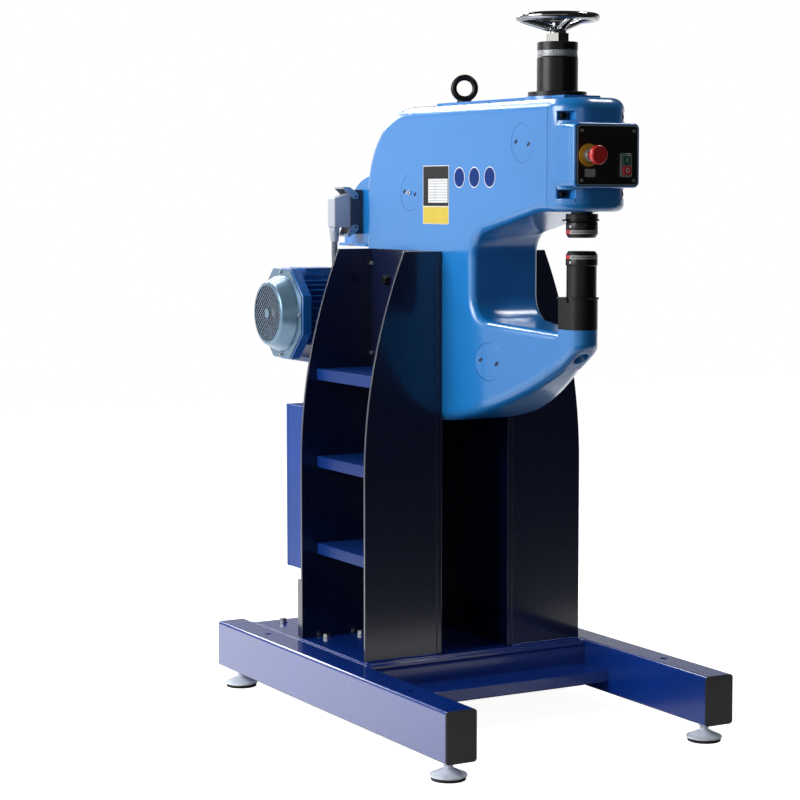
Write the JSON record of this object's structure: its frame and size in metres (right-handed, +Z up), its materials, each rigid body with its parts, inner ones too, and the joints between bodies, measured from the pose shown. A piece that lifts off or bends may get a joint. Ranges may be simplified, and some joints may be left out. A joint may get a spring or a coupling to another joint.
{
  "type": "sheet metal forming machine",
  "caption": "Floor-standing power former with a C-shaped cast frame, rocker-driven ram, height handwheel, control box, rear motor and cabinet on a shelved steel stand.",
  "frame": {"origin": "on the floor, under the middle of the machine's outline", "axes": "+Z up, +Y from the operator to the back, +X to the operator's right"},
  "size_m": [0.799, 1.274, 1.72],
  "materials": {
    "rail_paint": "smooth gloss powder coat",
    "stand_paint": "gloss dark blue powder coat",
    "shelf_paint": "gloss dark blue powder coat",
    "casting_paint": "gloss light blue enamel",
    "motor_paint": "gloss blue enamel",
    "cowl_paint": "grey blue enamel",
    "cabinet_paint": "fine texture powder coat",
    "zinc": "zinc plated",
    "machined_steel": "machined",
    "black_steel": "black oxide",
    "chrome": "polished",
    "bronze": "machined bronze",
    "black_plastic": "moulded black plastic",
    "panel_black": "satin black",
    "yellow_plastic": "yellow",
    "red_plastic": "red",
    "green_plastic": "green",
    "connector_grey": "grey coated die casting",
    "conduit_grey": "ribbed grey plastic",
    "rubber": "moulded rubber",
    "belt_rubber": "flat rubber belt"
  },
  "bodies": {
    "frame": {"side_rails": "rail_paint", "cross_tubes": "rail_paint", "front_brace": "rail_paint", "base_plate": "rail_paint", "rail_end_caps": "black_plastic", "foot_pads": "zinc", "foot_rubbers": "rubber", "inner_walls": "stand_paint", "front_plates": "stand_paint", "rear_plates": "stand_paint", "shelves": "shelf_paint", "frame_bolts": "black_steel", "c_frame": "casting_paint", "head_cap": "casting_paint", "cap_bolts": "black_steel", "side_covers": "casting_paint", "eyebolt": "black_steel", "adjuster_sleeve": "black_steel", "scale_ring": "machined_steel", "ram_bush": "bronze", "shaft_bearings": "machined_steel", "drive_belt": "belt_rubber", "drive_housing": "casting_paint", "motor_body": "motor_paint", "motor_shield": "motor_paint", "motor_cowl": "cowl_paint", "terminal_box": "motor_paint", "motor_bracket": "stand_paint", "lower_tool_holder": "black_steel", "lower_tool": "black_steel", "control_box": "casting_paint", "control_panel": "panel_black", "small_screws": "zinc", "estop_base": "yellow_plastic", "switch_frame": "machined_steel", "connector_base": "black_plastic", "connector_hood": "connector_grey", "cable_glands": "conduit_grey", "conduit": "conduit_grey", "cabinet": "cabinet_paint"},
    "motor_rotor": {"motor_shaft": "machined_steel", "motor_fan": "black_plastic"},
    "eccentric": {"eccentric_shaft": "machined_steel", "driven_pulley": "machined_steel"},
    "con_rod": {"con_rod": "machined_steel"},
    "fulcrum": {"fulcrum_block": "machined_steel", "fulcrum_pin": "machined_steel"},
    "rocker": {"rocker": "machined_steel"},
    "ram": {"ram": "machined_steel", "upper_tool_holder": "black_steel", "upper_tool": "black_steel"},
    "adjuster": {"adjuster_spindle": "black_steel", "handwheel": "chrome"},
    "estop_button": {"estop_button": "red_plastic"},
    "start_button": {"start_button": "green_plastic"},
    "stop_button": {"stop_button": "red_plastic"},
    "lever_top": {"lever_top": "zinc"},
    "lever_bottom": {"lever_bottom": "zinc"},
    "cabinet_door": {"cabinet_door": "cabinet_paint"},
    "door_lock": {"door_lock": "zinc"}
  },
  "joints": [
    {"name": "eccentric_spin", "type": "hinge", "parent": "frame", "child": "eccentric", "pos_m": [0, 0.47, 1.259], "axis": [1, 0, 0], "continuous": true},
    {"name": "motor_spin", "type": "hinge", "parent": "frame", "child": "motor_rotor", "pos_m": [0, 0.511, 0.995], "axis": [1, 0, 0], "continuous": true},
    {"name": "con_rod_pivot", "type": "hinge", "parent": "eccentric", "child": "con_rod", "pos_m": [0, 0.476, 1.259], "axis": [1, 0, 0], "continuous": true},
    {"name": "handwheel_turn", "type": "hinge", "parent": "frame", "child": "adjuster", "pos_m": [0, -0.386, 1.645], "axis": [0, 0, 1], "range_deg": [-720, 360]},
    {"name": "fulcrum_slide", "type": "slide", "parent": "frame", "child": "fulcrum", "axis": [0, 0, 1], "range_m": [-0.0061, 0.0031]},
    {"name": "rocker_swing", "type": "hinge", "parent": "fulcrum", "child": "rocker", "pos_m": [0, -0.386, 1.423], "axis": [1, 0, 0], "range_deg": [-0.4, 0.4]},
    {"name": "ram_slide", "type": "slide", "parent": "fulcrum", "child": "ram", "axis": [0, 0, 1], "range_m": [-0.00075, 0.00075]},
    {"name": "estop_push", "type": "slide", "parent": "frame", "child": "estop_button", "axis": [0, 1, 0], "range_m": [0, 0.004]},
    {"name": "start_push", "type": "slide", "parent": "frame", "child": "start_button", "axis": [0, 1, 0], "range_m": [0, 0.0025], "stiffness_N_per_m": 600, "springref_m": -0.002},
    {"name": "stop_push", "type": "slide", "parent": "frame", "child": "stop_button", "axis": [0, 1, 0], "range_m": [0, 0.0025], "stiffness_N_per_m": 600, "springref_m": -0.002},
    {"name": "lever_top_swing", "type": "hinge", "parent": "frame", "child": "lever_top", "pos_m": [-0.088, 0.455, 1.3], "axis": [0, 1, 0], "range_deg": [0, 55]},
    {"name": "lever_bottom_swing", "type": "hinge", "parent": "frame", "child": "lever_bottom", "pos_m": [-0.088, 0.455, 1.22], "axis": [0, -1, 0], "range_deg": [0, 55]},
    {"name": "door_swing", "type": "hinge", "parent": "frame", "child": "cabinet_door", "pos_m": [0.246, 0.512, 0.54], "axis": [0, 0, -1], "range_deg": [0, 110]},
    {"name": "lock_turn", "type": "hinge", "parent": "cabinet_door", "child": "door_lock", "pos_m": [-0.222, 0.512, 0.54], "axis": [0, 1, 0], "range_deg": [0, 90]}
  ],
  "couplings": [
    {"joint": "motor_spin", "follows": "eccentric_spin", "ratio": 2.2286},
    {"joint": "con_rod_pivot", "follows": "eccentric_spin", "ratio": -1},
    {"joint": "fulcrum_slide", "follows": "handwheel_turn", "m_per_rad": 0.00047746},
    {"joint": "ram_slide", "follows": "rocker_swing", "m_per_rad": -0.104}
  ]
}
